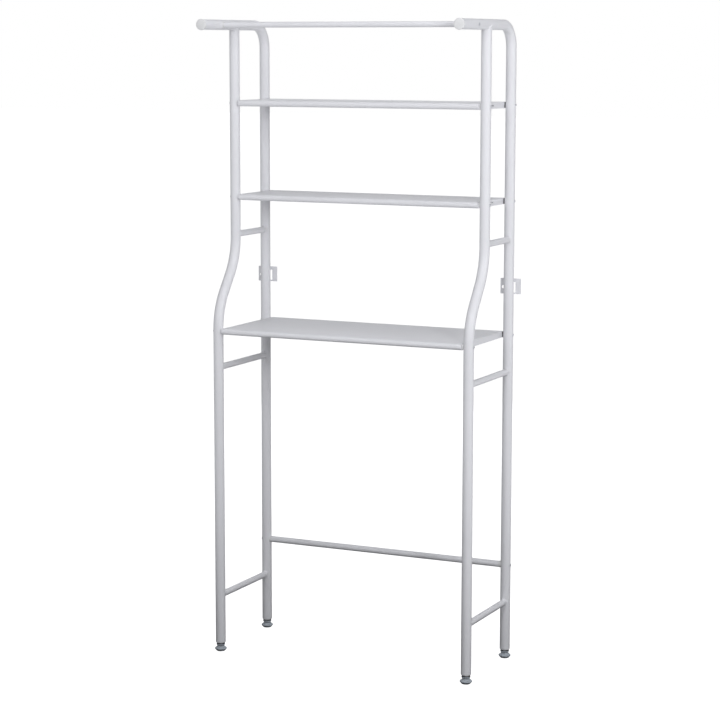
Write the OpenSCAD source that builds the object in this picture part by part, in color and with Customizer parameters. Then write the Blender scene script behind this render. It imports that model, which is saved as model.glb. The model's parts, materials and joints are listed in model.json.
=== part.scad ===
// Over the toilet storage rack: two welded side frames of round steel tube, three folded shelves,
// a towel bar across the front of the top rails, a back bar near the floor, two wall brackets and
// four screw-adjusted feet. Z is up, X runs across the rack, and the front faces -Y.
// The origin is on the floor, at the middle of the rack's width and depth.

/* [Frame] */
// Distance between the centre lines of the left and right tubes
frame_w = 680; // [560:1:760]
// Height of the top rails' centre line above the floor
rail_z = 1586.25; // [1540:0.25:1680]
// Distance from the rear to the front tubes above the S-bend
upper_depth = 161; // [140:1:180]
// Distance from the rear to the front tubes below the S-bend
lower_depth = 255; // [240:1:280]
// Distance from the rear tubes to the front end of the top rails
rail_reach = 327; // [300:1:360]
// Height of the joint between the upper and the lower tubes
joint_z = 790; // [770:1:795]

/* [Tubes] */
// Outer diameter of the posts and top rails
post_d = 25.4; // [24:0.1:26]
// Wall of the posts and top rails
post_wall = 1; // [0.8:0.1:1.5]
// Outer diameter of the side rungs
rung_d = 16; // [14:0.5:18]
// Wall of the rungs and bars
bar_wall = 0.9; // [0.7:0.1:1.2]
// Outer diameter of the towel bar
top_bar_d = 14; // [12:0.5:16]
// Outer diameter of the back bar
back_bar_d = 16; // [14:0.5:18]
// Centre line radius of the bend from rear post to top rail
rail_bend_r = 55; // [45:1:70]
// Centre line radius of the S-bend's two arcs
s_bend_r = 155; // [150:1:180]
// Slope of the S-bend's middle from the vertical, in degrees
s_bend_angle = 36.8699; // [34:0.0001:38]
// Height at which the S-bend starts
s_bend_z = 829.5; // [829.5:0.5:835]

/* [Heights of the cross pieces] */
// Centre of the upper side rungs
upper_rung_z = 1063; // [1040:1:1090]
// Centre of the middle side rungs
middle_rung_z = 734; // [700:1:740]
// Centre of the bottom side rungs
bottom_rung_z = 146; // [120:1:180]
// Centre of the back bar
back_bar_z = 241; // [200:1:300]
// Distance from the rear tubes' centre line forward to the towel bar
top_bar_reach = 238; // [200:1:290]
// Bottom edge of the wall brackets
bracket_z = 926.5; // [890:0.5:1000]

/* [Shelves] */
// Top face of the top shelf
top_shelf_z = 1400.5; // [1380:0.5:1420]
// Top face of the middle shelf
middle_shelf_z = 1165.5; // [1120:0.5:1180]
// Top face of the bottom shelf
bottom_shelf_z = 834; // [830:0.5:840]
// Thickness of the shelves' sheet steel
sheet_t = 0.9; // [0.7:0.1:1.2]
// Height of the shelves' folded edges
shelf_h = 15.5; // [14:0.5:18]
// Outer radius of the shelves' folds along their ends and their back
fold_r = 2; // [1.5:0.5:3]
// How far the rounded front edge's axis lies in front of the front tubes
nose_lead = 5.5; // [3:0.5:7]
// How far the shelves reach behind the rear tubes' centre line
shelf_tail = 5; // [3:0.5:8]

/* [Screws] */
// Outer diameter of the screw threads
screw_d = 3.9; // [3.5:0.1:4]
// Diameter of the shelf screws' heads
head_d = 6.6; // [6:0.1:8]
// Height of the shelf screws' heads
head_h = 2.4; // [2:0.1:3.2]

/* [Feet] */
// Height of the tubes' lower ends above the floor
leg_end_z = 23.6; // [22.8:0.1:25]
// Diameter of the foot pads
pad_d = 30.4; // [28:0.1:32]
// Outer diameter of the levelling screws' thread
stem_d = 8; // [7.6:0.1:8]

/* [Hidden] */
$fn = 96;

steel_white = [0.86, 0.86, 0.89];
cap_grey = [0.80, 0.81, 0.81];
black = [0.08, 0.08, 0.09];
zinc = [0.66, 0.67, 0.70];
pad_grey = [0.62, 0.65, 0.68];

over = 1; // overshoot of a cut past the face that it opens
slip = 0.05; // gap all round a plug or a thread in its hole

post_r = post_d / 2;
bore_r = post_r - post_wall;
tube_x = frame_w / 2;

// Rail cap: the rim is a full round, and the face behind it is slightly domed
cap_rim_r = 2.2;
cap_r = 13.75;
cap_dome = 0.8;
cap_plug = 22;

// Wall bracket: a flat plate across the back of the tube, with a window behind the tube
bracket_w = 54;
bracket_h = 39;
bracket_t = 2;
bracket_bite = 0.5; // depth of the groove that seats the plate on the tube
window_w = 26;
window_h = 26;
bottom_strap = 4;
wall_hole_x = -19.5;
wall_hole_r = 4;

// The depth runs from the rail caps' faces to the wall brackets' backs, and its middle is y = 0
cap_front = rail_reach + 2 * cap_rim_r + cap_dome;
bracket_back = post_r - bracket_bite + bracket_t;
back_y = (cap_front + bracket_back) / 2 - bracket_back;
front_y = back_y - upper_depth;
leg_y = back_y - lower_depth;

// The S-bend's straight middle takes up the rest of its forward step
s_bend_middle = (lower_depth - upper_depth - 2 * s_bend_r * (1 - cos(s_bend_angle))) / sin(s_bend_angle);
s_bend_rise = 2 * s_bend_r * sin(s_bend_angle) + s_bend_middle * cos(s_bend_angle);
saddle_tip = 3; // the front tubes' saddle-cut tops end this far below the rails' centre line

// Spigots inside the joints of the upper and lower tubes
spigot_wall = 1.2;
joint_bevel = 0.5; // bevel on the two tube ends that meet there
spigot_below = 45;
spigot_above = 27;

// Bar ends
plug_flange = 4;
plug_depth = 22;
bar_head_r = 3.8;
bar_head_h = 0.9;

// Shelves, spacers, screws and nuts
spacer_t = 2;
spacer_h = 13;
spacer_w = 9;
shelf_end_x = tube_x - post_r - spacer_t;
shelves = [[top_shelf_z, upper_depth], [middle_shelf_z, upper_depth], [bottom_shelf_z, lower_depth]];
screw_r = screw_d / 2;
hole_r = 2.2;
nut_flats = 7;
nut_h = 3.2;
screw_tip = 1.5;
socket_flats = 2.5;
socket_depth = 1.4;
head_skirt = 0.7; // height of the straight edge of a button head
nose_return = 7; // bottom lip that runs back from the rounded front edge
slot_l = 18;
slot_h = 4;

// Feet, as heights above the floor with the feet screwed right in
stem_r = stem_d / 2;
washer_top = 21;
ring_top = 18.6;
hex_top = 16;
hex_bottom = 13.4;
pad_top = 13.2;
insert_depth = 28;
stem_top = 46;
washer_r = 10.4;
ring_r = 11;
hex_flats = 15;
stem_head_r = 6.4;
pocket_gap = 0.1;
pocket_top = 6.1;
pocket_r = 6.7;
sole_r = 10;
hub_r = 9.6;
pad_rim_z = 6.4;
pad_rim_r = 2.4;

rear_steps = [[rail_z - rail_bend_r - joint_z], [rail_bend_r, 90, 180], [rail_reach - rail_bend_r]];
front_steps = [
    [s_bend_z - joint_z],
    [s_bend_r, s_bend_angle, 0],
    [s_bend_middle],
    [s_bend_r, s_bend_angle, 180],
    [rail_z - saddle_tip - s_bend_z - s_bend_rise]
];

// ---- Shared shapes ----

// Draws for the right side, and mirrors for the left
module on_side(side) {
    mirror([side == "left" ? 1 : 0, 0, 0]) children();
}

// Draws for the right side frame, and moves over to the left one. The two frames are alike.
module on_frame(side) {
    translate([side == "left" ? -frame_w : 0, 0, 0]) children();
}

// A bend in a round bar, cut from a quarter turn by the same rotation that places the next piece
module bend(r, bend_r, angle) {
    reach = bend_r + r + over;
    difference() {
        rotate_extrude(angle = 90) translate([bend_r, 0]) circle(r);
        if (angle < 90) rotate(angle) translate([0, 0, -r - over]) cube([reach, reach, 2 * r + 2 * over]);
    }
}

// A round bar that grows from the origin along +Z. A step is [length], or [bend radius, angle,
// turn], where turn 0 bends towards +Y and turn 180 towards -Y.
module round_run(r, steps, i = 0) {
    if (i < len(steps)) {
        step = steps[i];
        if (len(step) == 1) {
            cylinder(h = step[0], r = r);
            translate([0, 0, step[0]]) round_run(r, steps, i + 1);
        } else {
            rotate(step[2]) {
                translate([0, step[0], 0]) rotate([90, 0, -90]) bend(r, step[0], step[1]);
                translate([0, step[0] * (1 - cos(step[1])), step[0] * sin(step[1])])
                    rotate([-step[1], 0, 0])
                        rotate(-step[2])
                            round_run(r, steps, i + 1);
            }
        }
    }
}

// The same steps with the first and the last straight made longer
function lengthened(steps, by) = [
    for (i = [0 : len(steps) - 1]) (i == 0 || i == len(steps) - 1) ? [steps[i][0] + by] : steps[i]
];

module tube_run(r, wall, steps) {
    difference() {
        round_run(r, steps);
        translate([0, 0, -over]) round_run(r - wall, lengthened(steps, over));
    }
}

// Points along an arc, from angle a0 to a1
function arc(centre, r, a0, a1, steps) = [
    for (i = [0 : steps]) let (a = a0 + (a1 - a0) * i / steps) centre + r * [cos(a), sin(a)]
];

module along_x(x0, x1, r) {
    translate([x0, 0, 0]) rotate([0, 90, 0]) cylinder(h = x1 - x0, r = r);
}

module along_y(y0, y1, r) {
    translate([0, y0, 0]) rotate([-90, 0, 0]) cylinder(h = y1 - y0, r = r);
}

// Solid outlines of the right side's tubes, which cope the pieces that meet them
module rear_outline() {
    translate([tube_x, back_y, joint_z]) round_run(post_r, rear_steps);
}

module front_outline() {
    translate([tube_x, leg_y, joint_z]) round_run(post_r, front_steps);
}

module upright_outline(y) {
    translate([tube_x, y, 0]) cylinder(h = rail_z - rail_bend_r, r = post_r);
}

module rail_outline() {
    translate([tube_x, 0, rail_z]) along_y(back_y - rail_reach, back_y, post_r);
}

// Cross holes through a tube for one shelf's screw or one bar's screw
module cross_hole(y, z) {
    translate([tube_x, y, z]) along_x(-post_r - over, post_r + over, hole_r);
}

module shelf_screw_holes(y) {
    for (z = [top_shelf_z, middle_shelf_z]) cross_hole(y, z - shelf_h / 2);
}

// ---- Side frames ----

// Bevels the outside edge of an upright tube's end at height 0. The tube stands above it, or below
// it if dir is -1.
module end_bevel(dir) {
    mirror([0, 0, dir < 0 ? 1 : 0]) difference() {
        translate([0, 0, -over]) cylinder(h = over + joint_bevel, r = post_r + over);
        translate([0, 0, -2 * over]) cylinder(h = 3 * over + joint_bevel, r = post_r - joint_bevel);
        cylinder(h = joint_bevel, r1 = post_r - joint_bevel, r2 = post_r);
        translate([0, 0, joint_bevel]) cylinder(h = over, r = post_r);
    }
}

module upper_rear_tube(side) {
    color(steel_white) on_frame(side) difference() {
        translate([tube_x, back_y, joint_z]) tube_run(post_r, post_wall, rear_steps);
        translate([tube_x, back_y, joint_z]) end_bevel(1);
        shelf_screw_holes(back_y);
        cross_hole(back_y, bottom_shelf_z - shelf_h / 2);
        cross_hole(back_y - top_bar_reach, rail_z);
    }
}

module upper_front_tube(side) {
    color(steel_white) on_frame(side) difference() {
        translate([tube_x, leg_y, joint_z]) tube_run(post_r, post_wall, front_steps);
        translate([tube_x, leg_y, joint_z]) end_bevel(1);
        rail_outline();
        shelf_screw_holes(front_y);
        cross_hole(leg_y, bottom_shelf_z - shelf_h / 2);
    }
}

module lower_tube(side, y) {
    color(steel_white) on_frame(side) difference() {
        translate([tube_x, y, leg_end_z]) tube_run(post_r, post_wall, [[joint_z - leg_end_z]]);
        translate([tube_x, y, joint_z]) end_bevel(-1);
    }
}

module lower_rear_tube(side) {
    difference() {
        lower_tube(side, back_y);
        on_frame(side) cross_hole(back_y, back_bar_z);
    }
}

module tube_joints(side) {
    color(zinc) on_frame(side) for (y = [leg_y, back_y])
        translate([tube_x, y, joint_z - spigot_below])
            tube_run(bore_r - slip, spigot_wall, [[spigot_below + spigot_above]]);
}

module rung(z, y) {
    translate([tube_x, 0, z]) difference() {
        along_y(y, back_y, rung_d / 2);
        along_y(y - over, back_y + over, rung_d / 2 - bar_wall);
    }
}

module upper_rung(side) {
    color(steel_white) on_frame(side) difference() {
        rung(upper_rung_z, front_y);
        upright_outline(back_y);
        upright_outline(front_y);
    }
}

module lower_rung(side, z) {
    color(steel_white) on_frame(side) difference() {
        rung(z, leg_y);
        upright_outline(back_y);
        upright_outline(leg_y);
    }
}

module cap_profile() {
    translate([0, -cap_plug]) square([bore_r - slip, cap_plug]);
    square([cap_r - cap_rim_r, 2 * cap_rim_r]);
    translate([cap_r - cap_rim_r, cap_rim_r]) circle(cap_rim_r);
    // the dome is the top of a circle that passes through the edge of the flat face
    face_r = cap_r - cap_rim_r;
    dome_r = (face_r * face_r + cap_dome * cap_dome) / (2 * cap_dome);
    intersection() {
        translate([0, 2 * cap_rim_r + cap_dome - dome_r]) circle(dome_r, $fn = 720);
        translate([0, cap_rim_r]) square([face_r, 2 * cap_rim_r]);
    }
}

module rail_cap(side) {
    color(cap_grey) on_frame(side)
        translate([tube_x, back_y - rail_reach, rail_z])
            rotate([90, 0, 0])
                difference() {
                    rotate_extrude() cap_profile();
                    translate([0, 0, -cap_plug - over]) cylinder(h = cap_plug, r = bore_r - 2);
                }
}

module wall_bracket(x) {
    color(steel_white) difference() {
        translate([x - bracket_w / 2, back_y + post_r - bracket_bite, bracket_z])
            cube([bracket_w, bracket_t, bracket_h]);
        translate([x - window_w / 2, back_y, bracket_z + bottom_strap])
            cube([window_w, post_d, window_h]);
        translate([x + wall_hole_x, back_y, bracket_z + bottom_strap + window_h / 2])
            along_y(0, post_d, wall_hole_r);
        translate([x, back_y, bracket_z - over]) cylinder(h = bracket_h + 2 * over, r = post_r);
    }
}

// ---- Bars between the side frames ----

bar_end_x = tube_x - post_r - plug_flange;

module bar(r) {
    difference() {
        along_x(-bar_end_x, bar_end_x, r);
        along_x(-bar_end_x - over, bar_end_x + over, r - bar_wall);
    }
}

// One threaded plug, whose flange reaches on to the middle of the tube
module bar_plug(r) {
    difference() {
        union() {
            along_x(bar_end_x, tube_x, r + 0.4);
            along_x(bar_end_x - plug_depth, bar_end_x, r - bar_wall - slip);
        }
        along_x(bar_end_x - plug_depth - over, tube_x, screw_r + slip);
    }
}

module bar_screw() {
    difference() {
        union() {
            along_x(bar_end_x - plug_depth + 2, tube_x + post_r, screw_r);
            along_x(tube_x + post_r - 1, tube_x + post_r + bar_head_h, bar_head_r);
        }
        translate([tube_x + post_r + bar_head_h - socket_depth, 0, 0])
            rotate([0, 90, 0]) cylinder(h = 2 * socket_depth, r = socket_flats / sqrt(3), $fn = 6);
    }
}

// Takes the tube's round out of the head's underside, but not out of the shank
module seated(axis_y) {
    difference() {
        children();
        difference() {
            rotate([axis_y ? 90 : 0, 0, 0])
                translate([tube_x, 0, -post_d]) cylinder(h = 2 * post_d, r = post_r);
            along_x(0, tube_x + post_d, screw_r);
        }
    }
}

module top_bar() {
    color(steel_white) translate([0, back_y - top_bar_reach, rail_z]) bar(top_bar_d / 2);
}

module top_bar_plugs() {
    color(cap_grey) for (side = ["left", "right"]) on_side(side) difference() {
        translate([0, back_y - top_bar_reach, rail_z]) bar_plug(top_bar_d / 2);
        rail_outline();
    }
}

module top_bar_screws() {
    color(zinc) for (side = ["left", "right"]) on_side(side)
        translate([0, back_y - top_bar_reach, rail_z]) seated(true) bar_screw();
}

module back_bar() {
    color(steel_white) translate([0, back_y, back_bar_z]) bar(back_bar_d / 2);
}

module back_bar_plugs() {
    color(cap_grey) for (side = ["left", "right"]) on_side(side) difference() {
        translate([0, back_y, back_bar_z]) bar_plug(back_bar_d / 2);
        upright_outline(back_y);
    }
}

module back_bar_screws() {
    color(zinc) for (side = ["left", "right"]) on_side(side)
        translate([0, back_y, back_bar_z]) seated(false) bar_screw();
}

// ---- Shelves ----

// A shelf's side view, drawn with its depth to the right: a full round front edge and a folded back.
// An inset makes it the outline of the sheet's inner face.
module side_outline(depth, inset) {
    nose_r = shelf_h / 2 - inset;
    bend_r = fold_r - inset;
    length = depth + nose_lead + shelf_tail - inset;
    translate([-depth - nose_lead, -shelf_h / 2]) {
        circle(nose_r);
        translate([0, -nose_r]) square([length, 2 * nose_r - bend_r]);
        square([length - bend_r, nose_r]);
        translate([length - bend_r, nose_r - bend_r]) circle(bend_r);
    }
}

// The space inside a shelf, seen from its side, which is open below but for the front lip's return
module side_inside(depth) {
    side_outline(depth, sheet_t);
    translate([-depth - nose_lead + nose_return, -shelf_h - over])
        square([depth + nose_lead + shelf_tail - sheet_t - nose_return, shelf_h / 2 + over]);
}

// A shelf's front view: a flat top with a fold at each end
module end_outline(inset) {
    bend_r = fold_r - inset;
    half_w = shelf_end_x - inset;
    bottom = -shelf_h - over;
    translate([-half_w, bottom]) square([2 * half_w, -inset - bend_r - bottom]);
    translate([-half_w + bend_r, bottom]) square([2 * (half_w - bend_r), -inset - bottom]);
    for (x = [-1, 1] * (half_w - bend_r)) translate([x, -inset - bend_r]) circle(bend_r);
}

module extruded_x(length) {
    translate([-length / 2, 0, 0]) rotate([90, 0, 90]) linear_extrude(length) children();
}

module extruded_y(y0, y1) {
    translate([0, y1, 0]) rotate([90, 0, 0]) linear_extrude(y1 - y0) children();
}

// Keeps only what lies inside both of a shelf's views
module both_views(depth, inset) {
    intersection() {
        extruded_x(2 * shelf_end_x) children();
        extruded_y(-depth - 2 * shelf_h, 2 * shelf_h) end_outline(inset);
    }
}

module shelf(top_z, depth, slotted) {
    color(steel_white) difference() {
        translate([0, back_y, top_z]) difference() {
            both_views(depth, 0) side_outline(depth, 0);
            both_views(depth, sheet_t) side_inside(depth);
        }
        for (side = ["left", "right"]) on_side(side) {
            for (y = [back_y - depth, back_y]) translate([0, y, top_z - shelf_h / 2])
                along_x(shelf_end_x - over - sheet_t, shelf_end_x + over, hole_r);
            // oblong hanging slot in the middle of each end
            if (slotted) translate([0, back_y - depth / 2, top_z - shelf_h / 2]) {
                for (y = [-1, 1] * (slot_l - slot_h) / 2) translate([0, y, 0])
                    along_x(shelf_end_x - over - sheet_t, shelf_end_x + over, slot_h / 2);
                translate([shelf_end_x - over - sheet_t, -(slot_l - slot_h) / 2, -slot_h / 2])
                    cube([2 * over + sheet_t, slot_l - slot_h, slot_h]);
            }
        }
    }
}

// Repeats its children at a shelf's four screws, with the screw's axis as the X axis
module at_shelf_screws(top_z, depth) {
    for (side = ["left", "right"], y = [back_y - depth, back_y])
        on_side(side) translate([0, y, top_z - shelf_h / 2]) children();
}

// The six spacers at one end of the three shelves, front or rear
module shelf_spacers(end) {
    color(end == "front" ? cap_grey : black) difference() {
        for (shelf = shelves, side = ["left", "right"])
            on_side(side) translate([0, end == "front" ? back_y - shelf[1] : back_y, shelf[0] - shelf_h / 2])
                difference() {
                    translate([shelf_end_x, -spacer_w / 2, -spacer_h / 2])
                        cube([post_r, spacer_w, spacer_h]);
                    along_x(shelf_end_x - over, tube_x, hole_r);
                }
        for (side = ["left", "right"]) on_side(side) {
            rear_outline();
            front_outline();
        }
    }
}

// A button head: a low skirt under a domed top
module button_head(x, r, h) {
    rise = h - head_skirt;
    ball_r = (r * r + rise * rise) / (2 * rise);
    translate([x, 0, 0]) rotate([0, 90, 0]) rotate_extrude()
        polygon(concat([[0, -over], [r, -over]], arc([0, h - ball_r], ball_r, acos(r / ball_r), 90, 8)));
}

module shelf_screws(top_z, depth) {
    color(zinc) at_shelf_screws(top_z, depth) seated(false) difference() {
        union() {
            along_x(shelf_end_x - sheet_t - nut_h - screw_tip, tube_x + post_r, screw_r);
            button_head(tube_x + post_r, head_d / 2, head_h);
        }
        translate([tube_x + post_r + head_h - socket_depth, 0, 0])
            rotate([0, 90, 0]) cylinder(h = 2 * socket_depth, r = socket_flats / sqrt(3), $fn = 6);
    }
}

module shelf_nuts(top_z, depth) {
    color(zinc) at_shelf_screws(top_z, depth) difference() {
        translate([shelf_end_x - sheet_t - nut_h, 0, 0])
            rotate([0, 90, 0]) cylinder(h = nut_h, r = nut_flats / sqrt(3), $fn = 6);
        along_x(shelf_end_x - sheet_t - nut_h - over, shelf_end_x, screw_r + slip);
    }
}

// ---- Feet ----

// Puts its children on one leg's axis: front or rear, left or right
module at_leg(end, side) {
    translate([side == "left" ? -tube_x : tube_x, end == "front" ? leg_y : back_y, 0]) children();
}

module foot_insert(end, side) {
    color(cap_grey) at_leg(end, side) difference() {
        union() {
            translate([0, 0, leg_end_z]) cylinder(h = insert_depth, r = bore_r - slip);
            translate([0, 0, leg_end_z - 0.7]) cylinder(h = 0.7, r = post_r - 0.4);
            translate([0, 0, washer_top])
                cylinder(h = leg_end_z - 0.7 - washer_top, r1 = washer_r + 0.2, r2 = post_r - 0.7);
        }
        translate([0, 0, washer_top - over]) cylinder(h = insert_depth + 2 * post_r, r = stem_r + slip);
    }
}

module foot_ring(r, z0, z1) {
    translate([0, 0, z0]) difference() {
        cylinder(h = z1 - z0, r = r);
        translate([0, 0, -over]) cylinder(h = z1 - z0 + 2 * over, r = stem_r + slip);
    }
}

module foot_washer(end, side) {
    color(black) at_leg(end, side) foot_ring(washer_r, ring_top, washer_top);
}

module lock_ring(end, side) {
    color(pad_grey) at_leg(end, side) foot_ring(ring_r, hex_top + pocket_gap, ring_top);
}

module foot_stem(end, side) {
    color(zinc) at_leg(end, side) {
        translate([0, 0, pocket_top - 0.1 - 3]) cylinder(h = 3, r = stem_head_r);
        translate([0, 0, pocket_top - 1]) cylinder(h = stem_top - pocket_top + 1, r = stem_r);
        translate([0, 0, hex_bottom]) cylinder(h = hex_top - hex_bottom, r = hex_flats / sqrt(3), $fn = 6);
    }
}

// Half section of a pad: the hub flares down to a rounded rim, and the sole is a ring
module pad_profile() {
    polygon(concat(
        [[stem_r + slip, pad_top]],
        arc([hub_r - 0.6, pad_top - 0.6], 0.6, 90, 20, 3),
        [[hub_r + 0.8, pad_top - 2.2]],
        arc([pad_d / 2 - pad_rim_r, pad_rim_z], pad_rim_r, 50, -45, 10),
        [[sole_r + 0.8, 0.4], [sole_r, 0], [pocket_r, 0], [pocket_r, pocket_top], [stem_r + slip, pocket_top]]
    ));
}

module foot_pad(end, side) {
    color(pad_grey) at_leg(end, side) rotate_extrude() pad_profile();
}

// ---- The nodes ----

upper_rear_tube("left");  // left_upper_rear_tube
upper_rear_tube("right");  // right_upper_rear_tube
upper_front_tube("left");  // left_upper_front_tube
upper_front_tube("right");  // right_upper_front_tube
lower_rear_tube("left");  // left_lower_rear_tube
lower_rear_tube("right");  // right_lower_rear_tube
lower_tube("left", leg_y);  // left_lower_front_tube
lower_tube("right", leg_y);  // right_lower_front_tube
tube_joints("left");  // left_tube_joints
tube_joints("right");  // right_tube_joints
upper_rung("left");  // left_upper_rung
upper_rung("right");  // right_upper_rung
lower_rung("left", middle_rung_z);  // left_middle_rung
lower_rung("right", middle_rung_z);  // right_middle_rung
lower_rung("left", bottom_rung_z);  // left_bottom_rung
lower_rung("right", bottom_rung_z);  // right_bottom_rung
rail_cap("left");  // left_rail_cap
rail_cap("right");  // right_rail_cap
wall_bracket(-tube_x);  // left_wall_bracket
wall_bracket(tube_x);  // right_wall_bracket
top_bar();
top_bar_plugs();
top_bar_screws();
back_bar();
back_bar_plugs();
back_bar_screws();
shelf(top_shelf_z, upper_depth, true);  // top_shelf
shelf_screws(top_shelf_z, upper_depth);  // top_shelf_screws
shelf_nuts(top_shelf_z, upper_depth);  // top_shelf_nuts
shelf(middle_shelf_z, upper_depth, true);  // middle_shelf
shelf_screws(middle_shelf_z, upper_depth);  // middle_shelf_screws
shelf_nuts(middle_shelf_z, upper_depth);  // middle_shelf_nuts
shelf(bottom_shelf_z, lower_depth, false);  // bottom_shelf
shelf_screws(bottom_shelf_z, lower_depth);  // bottom_shelf_screws
shelf_nuts(bottom_shelf_z, lower_depth);  // bottom_shelf_nuts
shelf_spacers("front");  // front_shelf_spacers
shelf_spacers("rear");  // rear_shelf_spacers
foot_insert("front", "left");  // front_left_insert
foot_insert("front", "right");  // front_right_insert
foot_insert("rear", "left");  // rear_left_insert
foot_insert("rear", "right");  // rear_right_insert
foot_washer("front", "left");  // front_left_washer
foot_washer("front", "right");  // front_right_washer
foot_washer("rear", "left");  // rear_left_washer
foot_washer("rear", "right");  // rear_right_washer
lock_ring("front", "left");  // front_left_lock_ring
lock_ring("front", "right");  // front_right_lock_ring
lock_ring("rear", "left");  // rear_left_lock_ring
lock_ring("rear", "right");  // rear_right_lock_ring
foot_stem("front", "left");  // front_left_stem
foot_stem("front", "right");  // front_right_stem
foot_stem("rear", "left");  // rear_left_stem
foot_stem("rear", "right");  // rear_right_stem
foot_pad("front", "left");  // front_left_pad
foot_pad("front", "right");  // front_right_pad
foot_pad("rear", "left");  // rear_left_pad
foot_pad("rear", "right");  // rear_right_pad
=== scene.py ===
"""Over the toilet storage rack: materials, welds, threads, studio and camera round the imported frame."""
import json
import math

import bmesh
import bpy
from mathutils import Matrix, Vector


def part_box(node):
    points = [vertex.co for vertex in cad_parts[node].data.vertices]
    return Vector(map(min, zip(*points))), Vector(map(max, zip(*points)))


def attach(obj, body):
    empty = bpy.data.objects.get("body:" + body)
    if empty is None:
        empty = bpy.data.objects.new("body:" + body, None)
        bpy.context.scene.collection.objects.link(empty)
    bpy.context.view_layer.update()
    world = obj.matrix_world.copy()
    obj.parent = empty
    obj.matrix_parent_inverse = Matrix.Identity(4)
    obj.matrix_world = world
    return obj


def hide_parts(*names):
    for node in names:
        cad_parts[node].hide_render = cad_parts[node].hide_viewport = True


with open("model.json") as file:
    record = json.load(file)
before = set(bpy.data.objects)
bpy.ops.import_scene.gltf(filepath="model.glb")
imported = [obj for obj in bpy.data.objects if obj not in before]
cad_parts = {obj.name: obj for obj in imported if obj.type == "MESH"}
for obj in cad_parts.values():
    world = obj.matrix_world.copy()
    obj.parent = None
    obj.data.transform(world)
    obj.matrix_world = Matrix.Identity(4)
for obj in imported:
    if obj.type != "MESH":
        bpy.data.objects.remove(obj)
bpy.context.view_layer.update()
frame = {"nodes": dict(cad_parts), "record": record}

NODES = frame["nodes"]
MM = 0.001
SIDES = ("left", "right")
LEGS = ("front_left", "front_right", "rear_left", "rear_right")


# ---- Shader helpers ----

class Shader:
    """Builds one material's node tree."""

    def __init__(self, name):
        self.mat = bpy.data.materials.new(name)
        self.mat.use_nodes = True
        self.tree = self.mat.node_tree
        self.bsdf = self.tree.nodes["Principled BSDF"]
        coords = self.tree.nodes.new("ShaderNodeTexCoord")
        self.coords = coords.outputs["Object"]

    def node(self, kind, **sockets):
        made = self.tree.nodes.new(kind)
        for key, value in sockets.items():
            socket = made.inputs[key.replace("_", " ")]
            if isinstance(value, bpy.types.NodeSocket):
                self.tree.links.new(value, socket)
            else:
                socket.default_value = value
        return made

    def link(self, source, target):
        self.tree.links.new(source, target)

    def noise(self, scale, detail=2.0, roughness=0.5, stretch=(1, 1, 1)):
        mapping = self.node("ShaderNodeMapping", Vector=self.coords, Scale=stretch)
        made = self.node("ShaderNodeTexNoise", Vector=mapping.outputs["Vector"], Scale=scale,
                         Detail=detail, Roughness=roughness)
        return made.outputs["Fac"]

    def ramp(self, fac, low, high, a=0.35, b=0.65):
        made = self.node("ShaderNodeValToRGB", Fac=fac)
        made.color_ramp.elements[0].position = a
        made.color_ramp.elements[1].position = b
        made.color_ramp.elements[0].color = (*low, 1)
        made.color_ramp.elements[1].color = (*high, 1)
        return made.outputs["Color"]

    def span(self, fac, low, high, a=0.3, b=0.7):
        made = self.node("ShaderNodeMapRange", Value=fac)
        made.inputs["From Min"].default_value = a
        made.inputs["From Max"].default_value = b
        made.inputs["To Min"].default_value = low
        made.inputs["To Max"].default_value = high
        return made.outputs["Result"]

    def bumps(self, *layers):
        """Each layer is (height socket, strength, distance in metres)."""
        normal = None
        for height, strength, distance in layers:
            made = self.node("ShaderNodeBump", Height=height, Strength=strength, Distance=distance)
            if normal is not None:
                self.link(normal, made.inputs["Normal"])
            normal = made.outputs["Normal"]
        self.link(normal, self.bsdf.inputs["Normal"])

    def set(self, **values):
        for key, value in values.items():
            socket = self.bsdf.inputs[key.replace("_", " ")]
            if isinstance(value, bpy.types.NodeSocket):
                self.link(value, socket)
            else:
                socket.default_value = value


def powder_coat(name, tint, rough=0.33):
    """White powder coat: an orange-peel skin, with a faint drift of tone and gloss."""
    s = Shader(name)
    s.set(Base_Color=s.ramp(s.noise(7, 1), tuple(c * 0.975 for c in tint), tint, 0.2, 0.8),
          Roughness=s.span(s.noise(40, 1), rough - 0.02, rough + 0.04, 0.2, 0.8),
          Specular_IOR_Level=0.5)
    s.bumps((s.noise(700, 1, 0.5), 0.08, 0.00004), (s.noise(2600, 2, 0.6), 0.05, 0.00001))
    return s.mat


def moulded(name, tint, rough=0.5, grain=0.16):
    """Moulded plastic with a fine spark-eroded grain."""
    s = Shader(name)
    s.set(Base_Color=s.ramp(s.noise(26, 3), tuple(c * 0.93 for c in tint), tint),
          Roughness=s.span(s.noise(300, 2), rough - 0.06, rough + 0.08))
    s.bumps((s.noise(3200, 3, 0.6), grain, 0.00004), (s.noise(240, 2), grain * 0.5, 0.0001))
    return s.mat


def rubber(name, tint):
    """Dull rubber, darker in patches."""
    s = Shader(name)
    s.set(Base_Color=s.ramp(s.noise(120, 4), tuple(c * 0.6 for c in tint), tint),
          Roughness=s.span(s.noise(500, 2), 0.62, 0.8))
    s.bumps((s.noise(2400, 3), 0.3, 0.00006))
    return s.mat


def plated(name, tint, rough=0.3, metallic=1.0):
    """Plated steel: cloudy tone and gloss with fine drawn scratches. A dull plating is less metallic."""
    s = Shader(name)
    s.set(Base_Color=s.ramp(s.noise(160, 4), tuple(c * 0.78 for c in tint), tint),
          Roughness=s.span(s.noise(500, 3), rough - 0.08, rough + 0.12), Metallic=metallic)
    s.bumps((s.noise(900, 2, stretch=(1, 1, 6)), 0.15, 0.00005))
    return s.mat


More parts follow.
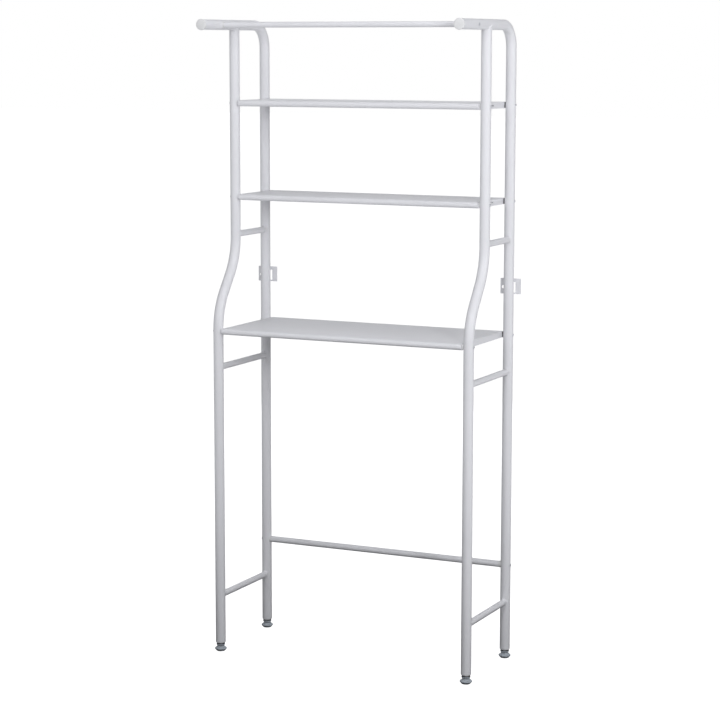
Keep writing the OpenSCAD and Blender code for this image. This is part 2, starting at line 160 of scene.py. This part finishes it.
MATERIALS = {
    "white_powder_coat": powder_coat("white_powder_coat", (0.80, 0.80, 0.82)),
    "light_grey_plastic": moulded("light_grey_plastic", (0.79, 0.79, 0.785)),
    # Painted shade: only the rear shelf spacers wear this near-black, which stands in for the shade in
    # the gap between the shelf's end and the rear tube; the same spacers at the front are light
    "black_plastic": moulded("black_plastic", (0.12, 0.12, 0.125)),
    "black_rubber": rubber("black_rubber", (0.03, 0.03, 0.035)),
    "foot_plastic": moulded("foot_plastic", (0.42, 0.46, 0.50)),
    "zinc_steel": plated("zinc_steel", (0.72, 0.73, 0.76), 0.37, 0.6),
}
for entry in frame["record"]["subparts"]:
    mesh = NODES[entry["node"]].data
    mesh.materials.clear()
    mesh.materials.append(MATERIALS[entry["material_slot"]])


# ---- Piece helpers ----

SAME_POINT = 0.001 * MM
SHARP_ANGLE = math.radians(40)


def centre(node):
    lo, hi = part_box(node)
    return (lo + hi) / 2


def piece(name, body, slot, verts, faces):
    """A smooth-shaded mesh that rides on a body and takes its finish from a slot."""
    mesh = bpy.data.meshes.new(name)
    mesh.from_pydata(verts, [], faces)
    bm = bmesh.new()
    bm.from_mesh(mesh)
    bmesh.ops.remove_doubles(bm, verts=bm.verts, dist=SAME_POINT)
    bmesh.ops.recalc_face_normals(bm, faces=bm.faces)
    for face in bm.faces:
        face.smooth = True
    for edge in bm.edges:
        edge.smooth = len(edge.link_faces) == 2 and edge.calc_face_angle() < SHARP_ANGLE
    bm.to_mesh(mesh)
    bm.free()
    mesh.materials.append(MATERIALS[slot])
    made = bpy.data.objects.new(name, mesh)
    bpy.context.scene.collection.objects.link(made)
    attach(made, body)
    return made


class Skin:
    """Collects the points and faces of closed surfaces that are made of rings."""

    def __init__(self):
        self.verts, self.faces = [], []

    def ring(self, points):
        start = len(self.verts)
        self.verts.extend(tuple(p) for p in points)
        return list(range(start, len(self.verts)))

    def join(self, a, b):
        n = len(a)
        self.faces.extend((a[k], a[(k + 1) % n], b[(k + 1) % n], b[k]) for k in range(n))

    def loft(self, rings, closed=False):
        """Joins each ring to the next. An open loft is capped at both ends."""
        rings = [self.ring(r) for r in rings]
        for a, b in zip(rings, rings[1:]):
            self.join(a, b)
        if closed:
            self.join(rings[-1], rings[0])
        else:
            self.faces += [tuple(reversed(rings[0])), tuple(rings[-1])]


# ---- Weld beads, under the powder coat ----

BEAD_R = 1.7 * MM
RIPPLE = 1.5 * MM
RINGS_PER_RIPPLE = 5
SECTION = 12
# Tack welds beside a bracket's two straps, which are this high
LOW_STRAP, HIGH_STRAP = 4 * MM, 9 * MM
TACK_R = 1.5 * MM
TACK_X = 6 * MM
TACK_BACK = 0.5 * MM
TACK_INSET = 0.3 * MM
TACK_RINGS = 24


def bead_section(p, tangent, outward, r):
    """A round section across a bead, at point p of the seam."""
    out = (outward - tangent * outward.dot(tangent)).normalized()
    across = tangent.cross(out)
    turns = (2 * math.pi * k / SECTION for k in range(SECTION))
    return [p + (out * math.cos(t) + across * math.sin(t)) * r for t in turns]


def ripple(s, seed):
    """The bead's size at ripple number s: the scales that a torch leaves, and a slow drift."""
    scales = 0.19 * (s % 1.0) ** 0.6
    drift = 0.05 * math.sin(0.37 * s + seed) + 0.03 * math.sin(1.13 * s + 2 * seed)
    return 0.9 + scales + drift


def branch_weld(skin, crossing, branch, main, r, main_r, least, seed):
    """A bead round the end of a branch tube of radius r, which is saddle-cut on to a main tube.

    The seam lies at least this far from the main tube's axis.
    """
    side = branch.cross(main)
    count = RINGS_PER_RIPPLE * round(2 * math.pi * r / RIPPLE)
    seam, outward = [], []
    for k in range(count):
        a = 2 * math.pi * k / count
        round_it = side * math.cos(a) + main * math.sin(a)
        out = math.sqrt(max(main_r ** 2 - (r * math.cos(a)) ** 2, least ** 2))
        seam.append(crossing + round_it * r + branch * out)
        outward.append(round_it + (side * r * math.cos(a) + branch * out).normalized())
    rings = []
    for k in range(count):
        tangent = (seam[(k + 1) % count] - seam[k - 1]).normalized()
        size = BEAD_R * ripple(k / RINGS_PER_RIPPLE, seed)
        rings.append(bead_section(seam[k], tangent, outward[k], size))
    skin.loft(rings, closed=True)


def tack_weld(skin, bottom, top, seed):
    """A short upright bead with rounded ends."""
    length = (top - bottom).length
    rings = []
    for k in range(1, TACK_RINGS):
        t = k / TACK_RINGS
        end = min(t, 1 - t) * length
        rounding = math.sqrt(max(0.0, 1 - max(0.0, 1 - end / TACK_R) ** 2))
        size = TACK_R * rounding * ripple(t * length / RIPPLE, seed)
        rings.append(bead_section(bottom.lerp(top, t), Vector((0, 0, 1)), Vector((0, -1, 0)), size))
    skin.loft(rings)


def weld_side(side):
    """The welds of one side frame, at its three rungs, its top rail and its wall bracket."""
    x = centre(f"{side}_lower_rear_tube").x
    post_lo, post_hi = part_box(f"{side}_lower_rear_tube")
    post_r = (post_hi.x - post_lo.x) / 2
    back_y = centre(f"{side}_lower_rear_tube").y
    leg_y = centre(f"{side}_lower_front_tube").y
    front_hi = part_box(f"{side}_upper_front_tube")[1]
    upper_y = front_hi.y - post_r
    up, back = Vector((0, 0, 1)), Vector((0, 1, 0))
    phase = 1 if side == "left" else 2
    for n, (level, y) in enumerate((("upper", upper_y), ("middle", leg_y), ("bottom", leg_y))):
        lo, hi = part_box(f"{side}_{level}_rung")
        r, z = (hi.x - lo.x) / 2, (lo.z + hi.z) / 2
        skin = Skin()
        branch_weld(skin, Vector((x, y, z)), back, up, r, post_r, 0, n + phase)
        branch_weld(skin, Vector((x, back_y, z)), -back, up, r, post_r, 0, n + 3 * phase)
        piece(f"{side}_{level}_rung_welds", "rack", "white_powder_coat", skin.verts, skin.faces)

    rail_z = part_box(f"{side}_upper_rear_tube")[1].z - post_r
    least = rail_z - front_hi.z
    skin = Skin()
    branch_weld(skin, Vector((x, upper_y, rail_z)), -up, back, post_r, post_r, least, 5 + phase)
    piece(f"{side}_rail_weld", "rack", "white_powder_coat", skin.verts, skin.faces)

    # The bracket touches the tube along its two straps, below and above its window
    lo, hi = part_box(f"{side}_wall_bracket")
    skin = Skin()
    for n, (z0, z1) in enumerate(((lo.z, lo.z + LOW_STRAP), (hi.z - HIGH_STRAP, hi.z))):
        for dx in (-1, 1):
            at = Vector((x + dx * TACK_X, lo.y - TACK_BACK, 0))
            tack_weld(skin, at + up * (z0 + TACK_INSET), at + up * (z1 - TACK_INSET), n + dx)
    piece(f"{side}_bracket_welds", "rack", "white_powder_coat", skin.verts, skin.faces)


for side in SIDES:
    weld_side(side)


# ---- Levelling screws: a swivel head, a chamfered hexagon and a cut M8 thread ----

PITCH = 1.25 * MM
CREST_R, ROOT_R = 3.98 * MM, 3.3 * MM
HEX_FLATS = 15 * MM
CHAMFER_SHARE = 0.96  # of the distance to the flats, where the hexagon's chamfer starts
GAP_UNDER_HEX, GAP_OVER_HEX = 0.2 * MM, 0.1 * MM
SWIVEL_R, SWIVEL_H = 6.4 * MM, 3 * MM
SWIVEL_EDGES = (0.5 * MM, 0.4 * MM)  # chamfers at the swivel head's bottom and top
TIP = 0.6 * MM  # chamfer at the screw's end
OVERLAP = 0.2 * MM
# One turn's profile, as (share of the pitch, share of the thread's depth)
THREAD = ((0.0, 0.0), (0.12, 0.0), (0.45, 1.0), (0.55, 1.0), (0.88, 0.0))
TURN_STEPS = 48
HEX_STEPS = 72


def turned(axis, profile, steps=TURN_STEPS):
    """The rings of a turned shape. A profile point is (radius, height), or functions of the angle."""
    rings = []
    for radius, z in profile:
        ring = []
        for k in range(steps):
            a = 2 * math.pi * k / steps
            r = radius(a) if callable(radius) else radius
            height = z(a) if callable(z) else z
            ring.append((axis.x + r * math.cos(a), axis.y + r * math.sin(a), height))
        rings.append(ring)
    return rings


def thread(skin, axis, z0, z1):
    """A right-hand thread that fades in at z0 and out at z1. Its rows climb one pitch a turn."""
    rows = len(THREAD) * (2 + math.ceil((z1 - z0) / PITCH))
    grid = []
    for k in range(TURN_STEPS):
        a = 2 * math.pi * k / TURN_STEPS
        column = []
        for j in range(rows):
            turn, (share, depth) = j // len(THREAD), THREAD[j % len(THREAD)]
            z = z0 + PITCH * (turn - 1 + share + k / TURN_STEPS)
            z = min(max(z, z0), z1)
            fade = min(1.0, (z - z0) / PITCH, (z1 - z) / PITCH)
            r = ROOT_R + (CREST_R - ROOT_R) * depth * fade
            column.append((axis.x + r * math.cos(a), axis.y + r * math.sin(a), z))
        grid.append(skin.ring(column))
    for k in range(TURN_STEPS):
        last = k == TURN_STEPS - 1
        step = len(THREAD) if last else 0
        a, b = grid[k], grid[0 if last else k + 1]
        skin.faces.extend((a[j], b[j + step], b[j + step + 1], a[j + 1]) for j in range(rows - step - 1))
    skin.faces += [tuple(reversed([column[0] for column in grid])), tuple(column[-1] for column in grid)]


def levelling_screw(leg):
    """One leg's screw, from its swivel head inside the pad to its tip in the insert."""
    lo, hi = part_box(f"{leg}_stem")
    axis = (lo + hi) / 2
    hex_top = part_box(f"{leg}_lock_ring")[0].z - GAP_OVER_HEX
    hex_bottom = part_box(f"{leg}_pad")[1].z + GAP_UNDER_HEX
    chamfer_r = CHAMFER_SHARE * HEX_FLATS / 2
    swivel_top = lo.z + SWIVEL_H
    low_edge, high_edge = SWIVEL_EDGES

    def hex_r(a):
        return HEX_FLATS / 2 / math.cos(a % (math.pi / 3) - math.pi / 6)

    def drop(a):
        return (hex_r(a) - chamfer_r) * math.tan(math.radians(30))

    skin = Skin()
    skin.loft(turned(axis, [
        (SWIVEL_R - low_edge, lo.z),
        (SWIVEL_R, lo.z + low_edge),
        (SWIVEL_R, swivel_top - high_edge),
        (SWIVEL_R - high_edge, swivel_top),
        (CREST_R, swivel_top),
        (CREST_R, hex_bottom),
        (chamfer_r, hex_bottom),
        (hex_r, lambda a: hex_bottom + drop(a)),
        (hex_r, lambda a: hex_top - drop(a)),
        (chamfer_r, hex_top),
        (ROOT_R, hex_top),
    ], HEX_STEPS))
    thread(skin, axis, hex_top - OVERLAP, hi.z - TIP)
    skin.loft(turned(axis, [(ROOT_R, hi.z - TIP - OVERLAP), (ROOT_R - TIP, hi.z)]))
    made = piece(f"{leg}_threaded_stem", f"{leg}_screw", "zinc_steel", skin.verts, skin.faces)
    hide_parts(f"{leg}_stem")


for leg in LEGS:
    levelling_screw(leg)


# ---- Studio ----

# Soft light from all round, as the radiance that arrives from the end of each axis
SKY = {"+x": 0.16, "-x": 0.12, "+y": 0.4, "-y": 0.12, "+z": 0.24}
SKY_TINT = (0.965, 0.972, 1.0)
# Soft boxes: power in watts, azimuth from the front towards the right, distance, height, size in metres
BOXES = {
    "key": (45, 43, 4.2, 1.9, 0.7),
    "side": (32, 80, 4.0, 2.1, 1.8),
    "wrap": (10, 45, 3.0, 2.6, 1.6),
    "front": (13.5, 20, 2.8, 2.6, 1.2),
    "left_front": (10, -20, 2.8, 2.2, 1.5),
    "left": (2, -70, 2.6, 1.8, 1.4),
    "top": (13.5, 0, 0.3, 3.3, 1.8),
    "back": (2.7, -155, 3.2, 1.9, 1.4),
    "rear": (30, -155, 4.0, 1.2, 2.0),
}
AIM = Vector((0, 0, 0.9))
# Boxes that give no reflections: the key's would burn out the shelves' tops as seen from behind, and the
# rear one's would do so as seen from the front
UNMIRRORED = ("key", "rear")
GROUND_REACH = 40
FLOOR_GLOW = 1.0
BACKDROP = 1.0
# The floor lies as low as the feet reach when they are screwed out, so that it cuts off none of them
FLOOR_Z = min(j["range_m"][0] for j in frame["record"]["behaviour"]["joints"] if j["type"] == "slide")
# Light that comes up from just under the floor, as its radiance at distances from the rack's middle
BOUNCE_Z = FLOOR_Z - 1 * MM
BOUNCE = {0.0: 0.0, 0.8: 0.0, 2.0: 1.0, 5.0: 0.7, 12.0: 0.25}


def sky_radiance(world):
    """The sum of SKY's values, each times the square of the direction's share along its half axis."""
    tree = world.node_tree

    def math_node(operation, a, b):
        made = tree.nodes.new("ShaderNodeMath")
        made.operation = operation
        for socket, value in zip(made.inputs, (a, b)):
            if isinstance(value, bpy.types.NodeSocket):
                tree.links.new(value, socket)
            else:
                socket.default_value = value
        return made.outputs[0]

    direction = tree.nodes.new("ShaderNodeSeparateXYZ")
    tree.links.new(tree.nodes.new("ShaderNodeTexCoord").outputs["Generated"], direction.inputs[0])
    total = 0.0
    for key, value in SKY.items():
        part = direction.outputs["xyz".index(key[1])]
        share = math_node("MAXIMUM", math_node("MULTIPLY", part, 1.0 if key[0] == "+" else -1.0), 0.0)
        squared = math_node("MULTIPLY", share, share)
        total = math_node("ADD", math_node("MULTIPLY", squared, value), total)
    return total


def soft_box(name, power, azimuth, distance, height, size):
    """A square area light that faces the rack and that no camera sees."""
    data = bpy.data.lights.new(name, "AREA")
    data.energy = power
    data.size = size
    data.color = SKY_TINT
    made = bpy.data.objects.new(name, data)
    bpy.context.scene.collection.objects.link(made)
    a = math.radians(azimuth)
    made.location = (distance * math.sin(a), -distance * math.cos(a), height)
    made.rotation_euler = (AIM - made.location).to_track_quat("-Z", "Y").to_euler()
    made.visible_camera = False
    made.visible_glossy = name not in UNMIRRORED


def ground(name, z, material):
    """A wide level sheet that isn't part of the object."""
    mesh = bpy.data.meshes.new(name)
    r = GROUND_REACH
    mesh.from_pydata([(-r, -r, z), (r, -r, z), (r, r, z), (-r, r, z)], [], [(0, 1, 2, 3)])
    mesh.materials.append(material)
    made = bpy.data.objects.new(name, mesh)
    bpy.context.scene.collection.objects.link(made)
    return made


def backdrop():
    """A world that lights the rack with the sky's radiance, but looks plain white to the camera."""
    world = bpy.data.worlds.new("studio")
    world.use_nodes = True
    tree = world.node_tree
    sky = tree.nodes["Background"]
    sky.inputs["Color"].default_value = (*SKY_TINT, 1)
    tree.links.new(sky_radiance(world), sky.inputs["Strength"])
    white = tree.nodes.new("ShaderNodeBackground")
    white.inputs["Color"].default_value = (BACKDROP, BACKDROP, BACKDROP, 1)
    mix = tree.nodes.new("ShaderNodeMixShader")
    tree.links.new(tree.nodes.new("ShaderNodeLightPath").outputs["Is Camera Ray"], mix.inputs[0])
    tree.links.new(sky.outputs[0], mix.inputs[1])
    tree.links.new(white.outputs[0], mix.inputs[2])
    tree.links.new(mix.outputs[0], tree.nodes["World Output"].inputs["Surface"])
    bpy.context.scene.world = world


def floor():
    """The floor that the camera sees. It lights and reflects nothing."""
    s = Shader("studio_floor")
    pale = s.ramp(s.noise(1.5, 2), (0.33, 0.33, 0.335), (0.35, 0.35, 0.35))
    s.set(Base_Color=pale, Roughness=0.9, Specular_IOR_Level=0.0, Emission_Color=(1, 1, 1, 1),
          Emission_Strength=FLOOR_GLOW)
    made = ground("studio_floor", FLOOR_Z, s.mat)
    made.visible_diffuse = made.visible_glossy = False


def bounce():
    """The floor that lights the rack from below. The camera doesn't see it."""
    s = Shader("studio_bounce")
    far = s.node("ShaderNodeVectorMath", Vector=s.coords)
    far.operation = "LENGTH"
    reach = max(BOUNCE)
    ramp = s.node("ShaderNodeValToRGB", Fac=s.span(far.outputs["Value"], 0, 1, 0, reach))
    elements = ramp.color_ramp.elements
    while len(elements) < len(BOUNCE):
        elements.new(0.5)
    for element, (radius, value) in zip(elements, BOUNCE.items()):
        element.position = radius / reach
        element.color = (*(value * c for c in SKY_TINT), 1)
    s.set(Base_Color=(0, 0, 0, 1), Specular_IOR_Level=0.0, Emission_Color=ramp.outputs["Color"],
          Emission_Strength=1.0)
    ground("studio_bounce", BOUNCE_Z, s.mat).visible_camera = False


# ---- Camera, at the photograph's viewing angle ----

CAMERA_AT = (2.3014, -4.8401, 1.5361)
CAMERA_LENS = 108.775
# Turned left of straight ahead, tipped down and rolled, in degrees
CAMERA_TURN = (25.352, 8.224, 0.086)


def camera():
    data = bpy.data.cameras.new("camera")
    data.sensor_width = 36
    data.lens = CAMERA_LENS
    data.clip_start = 0.5
    data.clip_end = 60
    made = bpy.data.objects.new("camera", data)
    bpy.context.scene.collection.objects.link(made)
    made.location = CAMERA_AT
    yaw, pitch, roll = (math.radians(a) for a in CAMERA_TURN)
    level = math.cos(pitch)
    forward = Vector((-math.sin(yaw) * level, math.cos(yaw) * level, -math.sin(pitch)))
    rolled = Matrix.Rotation(roll, 3, "Z").to_quaternion()
    made.rotation_mode = "QUATERNION"
    made.rotation_quaternion = forward.to_track_quat("-Z", "Y") @ rolled
    bpy.context.scene.camera = made


backdrop()
for name, values in BOXES.items():
    soft_box(name, *values)
floor()
bounce()
bpy.context.scene.view_settings.view_transform = "Standard"
camera()
